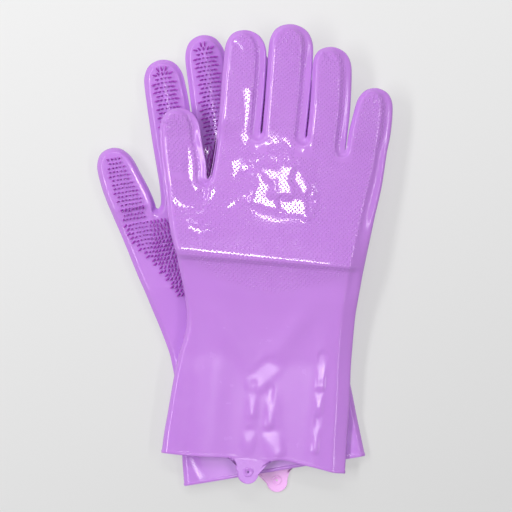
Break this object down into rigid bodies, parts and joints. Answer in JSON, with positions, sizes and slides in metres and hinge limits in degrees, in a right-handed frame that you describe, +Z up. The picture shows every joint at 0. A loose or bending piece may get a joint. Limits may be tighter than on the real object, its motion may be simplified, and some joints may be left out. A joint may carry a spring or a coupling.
{
  "type": "rubber gloves",
  "caption": "Pair of flexible cleaning gloves laid palm to palm, with bristled palms, flared cuffs and hanging tabs; fingers, thumbs, gauntlet and tabs bend.",
  "frame": {"origin": "middle of the pair's plan outline, on the surface that the lower glove lies on", "axes": "+Y from the cuffs to the fingertips, +X to the right with both thumbs on the left, +Z up"},
  "size_m": [0.2234, 0.3527, 0.0348],
  "materials": {
    "silicone": "satin",
    "bristles": "satin"
  },
  "bodies": {
    "left_glove": {"left_hand_shell": "silicone", "left_gauntlet": "silicone", "left_cuff_rim": "silicone", "left_palm_bristles": "bristles", "left_index_finger": "silicone", "left_index_bristles": "bristles", "left_middle_finger": "silicone", "left_middle_bristles": "bristles", "left_ring_finger": "silicone", "left_ring_bristles": "bristles", "left_little_finger": "silicone", "left_little_bristles": "bristles"},
    "left_thumb_body": {"left_thumb": "silicone", "left_thumb_bristles": "bristles"},
    "left_index_tip_body": {"left_index_fingertip": "silicone", "left_index_tip_bristles": "bristles"},
    "left_middle_tip_body": {"left_middle_fingertip": "silicone", "left_middle_tip_bristles": "bristles"},
    "left_tab_body": {"left_hang_tab": "silicone"},
    "right_hand_body": {"right_hand_shell": "silicone", "right_palm_bristles": "bristles"},
    "right_thumb_body": {"right_thumb": "silicone", "right_thumb_bristles": "bristles"},
    "right_index_body": {"right_index_finger": "silicone", "right_index_bristles": "bristles"},
    "right_middle_body": {"right_middle_finger": "silicone", "right_middle_bristles": "bristles"},
    "right_ring_body": {"right_ring_finger": "silicone", "right_ring_bristles": "bristles"},
    "right_little_body": {"right_little_finger": "silicone", "right_little_bristles": "bristles"},
    "right_gauntlet_body": {"right_gauntlet": "silicone", "right_cuff_rim": "silicone"},
    "right_tab_body": {"right_hang_tab": "silicone"}
  },
  "joints": [
    {"name": "right_glove_lift", "type": "slide", "parent": "left_glove", "child": "right_hand_body", "axis": [0, 0, 1], "range_m": [0, 0.14]},
    {"name": "right_thumb_bend", "type": "hinge", "parent": "right_hand_body", "child": "right_thumb_body", "pos_m": [-0.04397, 0.05727, 0.0348], "axis": [0.9945, -0.1045, 0], "range_deg": [0, 70]},
    {"name": "right_index_bend", "type": "hinge", "parent": "right_hand_body", "child": "right_index_body", "pos_m": [-0.00429, 0.09131, 0.0348], "axis": [0.9945, -0.1045, 0], "range_deg": [0, 70]},
    {"name": "right_middle_bend", "type": "hinge", "parent": "right_hand_body", "child": "right_middle_body", "pos_m": [0.02937, 0.08777, 0.0348], "axis": [0.9945, -0.1045, 0], "range_deg": [0, 70]},
    {"name": "right_ring_bend", "type": "hinge", "parent": "right_hand_body", "child": "right_ring_body", "pos_m": [0.06115, 0.08443, 0.0348], "axis": [0.9945, -0.1045, 0], "range_deg": [0, 70]},
    {"name": "right_little_bend", "type": "hinge", "parent": "right_hand_body", "child": "right_little_body", "pos_m": [0.09208, 0.08118, 0.03339], "axis": [0.9945, -0.1045, 0], "range_deg": [0, 70]},
    {"name": "right_gauntlet_fold", "type": "hinge", "parent": "right_hand_body", "child": "right_gauntlet_body", "pos_m": [0.01875, -0.00563, 0.0322], "axis": [-0.9945, 0.1045, 0], "range_deg": [0, 45]},
    {"name": "right_tab_flap", "type": "hinge", "parent": "right_gauntlet_body", "child": "right_tab_body", "pos_m": [0.00362, -0.15487, 0.0185], "axis": [-0.9945, 0.1045, 0], "range_deg": [0, 80]},
    {"name": "left_tab_flap", "type": "hinge", "parent": "left_glove", "child": "left_tab_body", "pos_m": [0.0235, -0.1609, 0.0016], "axis": [-0.9863, -0.165, 0], "range_deg": [0, 60]},
    {"name": "left_thumb_curl", "type": "hinge", "parent": "left_glove", "child": "left_thumb_body", "pos_m": [-0.0822, 0.03028, 0.0175], "axis": [0.9863, 0.165, 0], "range_deg": [0, 60]},
    {"name": "left_index_tip_curl", "type": "hinge", "parent": "left_glove", "child": "left_index_tip_body", "pos_m": [-0.05727, 0.11455, 0.0175], "axis": [0.9863, 0.165, 0], "range_deg": [0, 60]},
    {"name": "left_middle_tip_curl", "type": "hinge", "parent": "left_glove", "child": "left_middle_tip_body", "pos_m": [-0.02717, 0.14595, 0.0175], "axis": [0.9863, 0.165, 0], "range_deg": [0, 60]}
  ]
}
